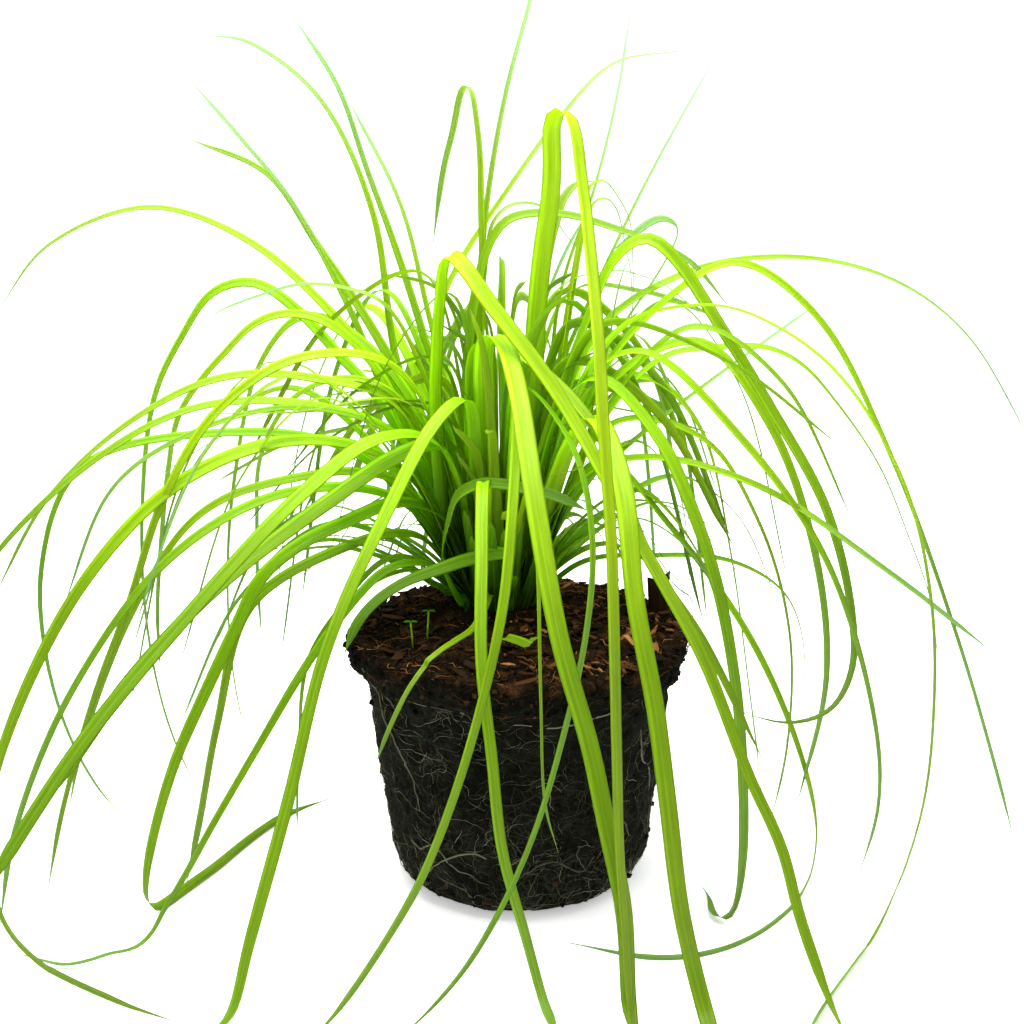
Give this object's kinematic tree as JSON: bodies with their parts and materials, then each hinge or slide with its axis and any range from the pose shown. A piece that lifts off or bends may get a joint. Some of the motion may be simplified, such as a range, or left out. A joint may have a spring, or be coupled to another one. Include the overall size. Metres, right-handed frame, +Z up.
{
  "type": "carex sedge plant with root ball",
  "caption": "Ornamental carex sedge lifted out of its pot: a fountain of long arching keeled blades over a pot-shaped ball of soil bound by roots.",
  "frame": {"origin": "centre of the root ball's flat base, on the surface it stands on", "axes": "+Z up along the root ball, -Y toward the front from which the picture is taken, +X to the right in the picture"},
  "size_m": [0.4629, 0.3433, 0.3767],
  "materials": {
    "soil": "rough, dark peat with pale roots and red-brown bark on top",
    "leaf": "satin, lime green, finely veined along the blade",
    "weed": "matte, fresh green"
  },
  "bodies": {
    "root": {"root_ball": "soil", "sedge_leaves": "leaf", "seedling_left": "weed", "seedling_right": "weed"}
  },
  "joints": []
}
